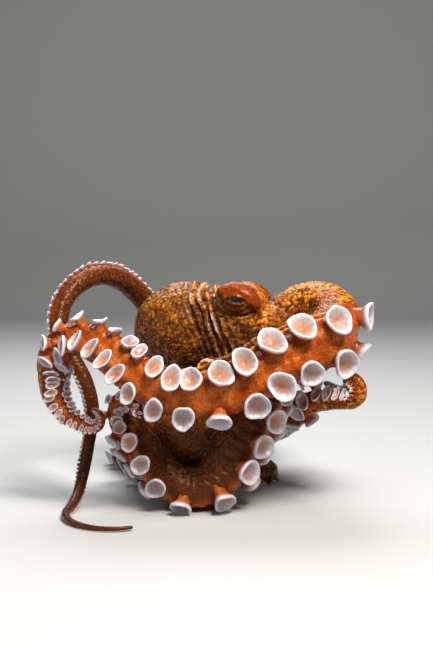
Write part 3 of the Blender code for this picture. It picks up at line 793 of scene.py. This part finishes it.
def sucker_mesh():
    shells, colours = [], []
    rng = np.random.default_rng(11)
    for c, out, t, size, crowd in places:
        fine = 0 if size > LARGE else 1 if size > MIDDLING else 2
        sides = (30, 18, 10)[fine]
        profile = (CUP, CUP[::2], CUP[1::3])[fine]
        tilt = rng.normal(0, 0.15, 2)
        across = np.cross(out, t)
        z = unit(out + tilt[0] * t + tilt[1] * across)
        x = unit(t - (t @ z) * z)
        y = np.cross(z, x)
        a = np.linspace(0, 2 * math.pi, sides, endpoint=False)
        wave = 1 + sum(high * np.sin(k * a + rng.uniform(0, 6)) for k, high in LOBES)
        sway = size * sum(high * np.sin(k * a + rng.uniform(0, 6)) for k, high in SWAY)
        stain = 1 + 0.07 * np.sin(a + rng.uniform(0, 6)) + 0.05 * np.sin(4 * a + rng.uniform(0, 6))
        pleat = np.cos(a * sides / 3)
        half = size * (WIDE + LONG * crowd) / 2
        reach = LONG * crowd * np.cos(a)[:, None] * x + WIDE * np.sin(a)[:, None] * y
        stalk = STALK * size * rng.uniform(0.85, 1.2)
        tint = rng.uniform(0.80, 1.05)
        # Painted light and shade: suckers facing up keep warm insides, as if lit, and those facing down go
        # towards a cool grey, as if in shade.
        lit_warmth = rng.uniform(0.7, 1.0) if out[2] > -0.15 else rng.uniform(0.35, 0.85)
        rings = []
        for w, h, tone in profile:
            height = stalk * (0.2 + 0.8 * min(1, (h + 0.5) / 0.6)) + h * half - SUNK * size
            pleated = 1.0 if 1.05 < tone < 2.3 else 0.0
            lift = height + sway * w ** 3 + pleated * PLEAT_HEIGHT * size * pleat
            rings.append(c + lift[:, None] * z + (w * size * wave)[:, None] * reach)
            shade = np.array([np.interp(tone, range(4), CUP_COLOURS[:, i]) for i in range(3)])
            if tone > 1.5:
                shade = shade * lit_warmth + (1 - lit_warmth) * SHADE_COOL
            # Random stains, with painted shade in the pleats' grooves and painted light on their crests.
            mark = (stain + pleated * PLEAT_SHADE * pleat) * (tint if tone > 0.3 else 1)
            colours.append(mark[:, None] * shade)
        shells.append(sweep(rings))
    verts, faces = join(shells)
    verts[:, 2] = np.maximum(verts[:, 2], CUPS_OFF_FLOOR)
    mesh = to_mesh("suckers", verts, faces)
    paint(mesh, "hue", np.vstack(colours))
    mesh.shade_smooth()
    return mesh


# ---------------------------------------------------------------- eyes

def eye_mesh(name):
    centre, radius, look = EYES[name]
    d, x, z = eye_frame(look)
    rows, sides = 90, 96
    half_length, half_height = 4.6, 0.95   # of the pupil, which widens towards its ends
    verts, colours, faces = [], [], []
    for i in range(rows + 1):
        a = math.pi * EYE_CAP * i / rows
        for j in range(sides):
            b = 2 * math.pi * j / sides
            u, v = math.sin(a) * math.cos(b), math.sin(a) * math.sin(b)
            verts.append(np.array(centre) + radius * (math.cos(a) * d + u * x + v * z))
            u, v = u * radius, v * radius
            share = abs(u) / half_length
            slit = share ** 2.4 + (abs(v) / (half_height + 0.25 * share ** 2)) ** 2.4
            if slit < 1:
                colours.append(PUPIL)
            elif slit < 1.5:
                colours.append(PUPIL_RIM)
            else:
                colours.append(tuple(np.array(IRIS) * (1 + 0.35 * math.sin(9 * b + 5 * math.sin(4 * b)))))
    for i in range(rows):
        for j in range(sides):
            k = (j + 1) % sides
            faces.append((i * sides + j, (i + 1) * sides + j, (i + 1) * sides + k, i * sides + k))
    faces.append(tuple(rows * sides + j for j in range(sides)))
    mesh = to_mesh(name, verts, faces)
    paint(mesh, "hue", np.array(colours))
    mesh.shade_smooth()
    return mesh


# ---------------------------------------------------------------- materials

def principled(name):
    mat = bpy.data.materials.new(name)
    mat.use_nodes = True
    return mat, mat.node_tree, mat.node_tree.nodes["Principled BSDF"]


def painted_hue(tree):
    hue = tree.nodes.new("ShaderNodeVertexColor")
    hue.layer_name = "hue"
    return hue.outputs["Color"]


def ranged(tree, value, spread, results):
    """The value, with its range spread stretched to the range results."""
    node = tree.nodes.new("ShaderNodeMapRange")
    node.inputs["From Min"].default_value = spread[0]
    node.inputs["From Max"].default_value = spread[1]
    node.inputs["To Min"].default_value = results[0]
    node.inputs["To Max"].default_value = results[1]
    tree.links.new(value, node.inputs["Value"])
    return node.outputs["Result"]


def fine_grain(tree, place, scale, detail, roughness):
    grain = tree.nodes.new("ShaderNodeTexNoise")
    grain.inputs["Scale"].default_value = scale
    grain.inputs["Detail"].default_value = detail
    grain.inputs["Roughness"].default_value = roughness
    tree.links.new(place, grain.inputs["Vector"])
    return grain.outputs["Fac"]


def dappled(tree, shader, tone, gloss):
    """Give the shader the painted colours, made darker and lighter by the tone, and a gloss."""
    product = tree.nodes.new("ShaderNodeMix")
    product.data_type = "RGBA"
    product.blend_type = "MULTIPLY"
    product.inputs["Factor"].default_value = 1.0
    tree.links.new(painted_hue(tree), product.inputs["A"])
    tree.links.new(tone, product.inputs["B"])
    tree.links.new(product.outputs["Result"], shader.inputs["Base Color"])
    tree.links.new(gloss, shader.inputs["Roughness"])


def raised(tree, shader, height, strength, distance):
    """Bump the shader's surface by the height."""
    relief = tree.nodes.new("ShaderNodeBump")
    relief.inputs["Strength"].default_value = strength
    relief.inputs["Distance"].default_value = distance
    tree.links.new(height, relief.inputs["Height"])
    tree.links.new(relief.outputs["Normal"], shader.inputs["Normal"])


GRAIN_SPREAD = (0.3, 0.7)   # where most of the grain's values lie


def skin_material():
    mat, tree, shader = principled("octopus skin")
    place = tree.nodes.new("ShaderNodeTexCoord").outputs["Object"]
    grain = fine_grain(tree, place, 700, 4, 0.65)
    tone = ranged(tree, grain, GRAIN_SPREAD, (0.55, 1.5))
    gloss = ranged(tree, grain, GRAIN_SPREAD, (0.18, 0.36))
    dappled(tree, shader, tone, gloss)
    pores = tree.nodes.new("ShaderNodeTexVoronoi")
    pores.inputs["Scale"].default_value = 620
    tree.links.new(place, pores.inputs["Vector"])
    blend = tree.nodes.new("ShaderNodeMath")
    blend.operation = "MULTIPLY_ADD"
    blend.inputs[1].default_value = 0.6
    tree.links.new(pores.outputs["Distance"], blend.inputs[0])
    tree.links.new(grain, blend.inputs[2])
    raised(tree, shader, blend.outputs["Value"], 0.4, 0.0006)
    shader.inputs["Subsurface Weight"].default_value = 0.06
    shader.inputs["Subsurface Radius"].default_value = (1.0, 0.4, 0.2)
    shader.inputs["Subsurface Scale"].default_value = 0.002
    shader.inputs["Specular IOR Level"].default_value = 0.18
    shader.inputs["Specular Tint"].default_value = (1.0, 0.60, 0.30, 1)
    shader.inputs["Coat Weight"].default_value = 0.06
    shader.inputs["Coat Roughness"].default_value = 0.15
    return mat


def sucker_material():
    mat, tree, shader = principled("sucker")
    place = tree.nodes.new("ShaderNodeTexCoord").outputs["Object"]
    grain = fine_grain(tree, place, 450, 3, 0.5)
    tone = ranged(tree, grain, (0, 1), (0.8, 1.15))
    gloss = ranged(tree, grain, GRAIN_SPREAD, (0.28, 0.52))
    dappled(tree, shader, tone, gloss)
    raised(tree, shader, grain, 0.4, 0.0004)
    shader.inputs["Subsurface Weight"].default_value = 0.35
    shader.inputs["Subsurface Radius"].default_value = (1.0, 0.6, 0.5)
    shader.inputs["Subsurface Scale"].default_value = 0.002
    shader.inputs["Coat Weight"].default_value = 0.15
    shader.inputs["Coat Roughness"].default_value = 0.2
    return mat


def eye_material():
    mat, tree, shader = principled("wet eye")
    tree.links.new(painted_hue(tree), shader.inputs["Base Color"])
    shader.inputs["Roughness"].default_value = 0.2
    shader.inputs["Coat Weight"].default_value = 0.3
    shader.inputs["Coat Roughness"].default_value = 0.05
    return mat


def plain_material(name, colour, roughness):
    mat, _, shader = principled(name)
    shader.inputs["Base Color"].default_value = (*colour, 1)
    shader.inputs["Roughness"].default_value = roughness
    return mat


# ---------------------------------------------------------------- pieces

skin = to_object("skin", make_skin())
skin.data.materials.append(skin_material())
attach(skin, "root")
flesh = [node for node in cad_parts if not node.startswith("eye")]
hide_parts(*flesh)

suckers = to_object("suckers", sucker_mesh())
suckers.data.materials.append(sucker_material())
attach(suckers, "root")

wet = eye_material()
for name in EYES:
    eye = to_object(name + "_ball", eye_mesh(name))
    eye.data.materials.append(wet)
    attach(eye, "root")
    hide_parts(name)


# ---------------------------------------------------------------- stage, lights, camera

def cyclorama():
    """A floor that curves up into a backdrop."""
    bend, depth, wide, tall = 0.5, 1.4, 3.0, 2.2
    section = [(-2.5, 0.0), (depth, 0.0)]
    for a in np.linspace(0.05, math.pi / 2, 16):
        section.append((depth + bend * math.sin(a), bend - bend * math.cos(a)))
    section.append((depth + bend, tall))
    verts = [(x, y, z) for y, z in section for x in (-wide, wide)]
    faces = [(2 * i, 2 * i + 1, 2 * i + 3, 2 * i + 2) for i in range(len(section) - 1)]
    mesh = bpy.data.meshes.new("floor")
    mesh.from_pydata(verts, [], faces)
    mesh.shade_smooth()
    return mesh


floor = to_object("floor", cyclorama())
floor.data.materials.append(plain_material("pale floor", (0.42, 0.43, 0.44), 0.7))


def area_light(name, place, aim, size, power, colour):
    light = bpy.data.lights.new(name, "AREA")
    light.size = size
    light.energy = power
    light.color = colour
    obj = to_object(name, light)
    obj.location = place
    obj.rotation_euler = (Vector(aim) - Vector(place)).to_track_quat("-Z", "Y").to_euler()
    return obj


AIM = (0, 0, 0.08)
area_light("key", (0.30, -0.6, 0.90), AIM, 0.35, 21, (1.0, 0.95, 0.87))
area_light("fill", (-0.9, -0.6, 0.35), AIM, 0.8, 2, (0.88, 0.94, 1.0))
area_light("top", (-0.1, 0.5, 0.9), AIM, 0.7, 10, (1.0, 1.0, 1.0))

world = bpy.data.worlds.new("studio")
world.use_nodes = True
world.node_tree.nodes["Background"].inputs["Color"].default_value = (0.90, 0.90, 0.89, 1)
world.node_tree.nodes["Background"].inputs["Strength"].default_value = 0.2
bpy.context.scene.world = world
bpy.context.scene.view_settings.view_transform = "Standard"

VIEW_TARGET = Vector((7.5, 0, 113)) + Vector(SHIFT)
VIEW_DISTANCE, VIEW_ELEVATION = 750.0, math.radians(5)
VIEW_HEIGHT = 422.5     # of the frame, where the target is
camera_data = bpy.data.cameras.new("camera")
camera_data.sensor_width = 36
camera_data.lens = 36 * VIEW_DISTANCE / VIEW_HEIGHT
camera_data.clip_start, camera_data.clip_end = 0.01, 20
camera = to_object("camera", camera_data)
away = Vector((0, -math.cos(VIEW_ELEVATION), math.sin(VIEW_ELEVATION)))
camera.location = (VIEW_TARGET + VIEW_DISTANCE * away) * MM
camera.rotation_euler = (math.pi / 2 - VIEW_ELEVATION, 0, 0)
bpy.context.scene.camera = camera
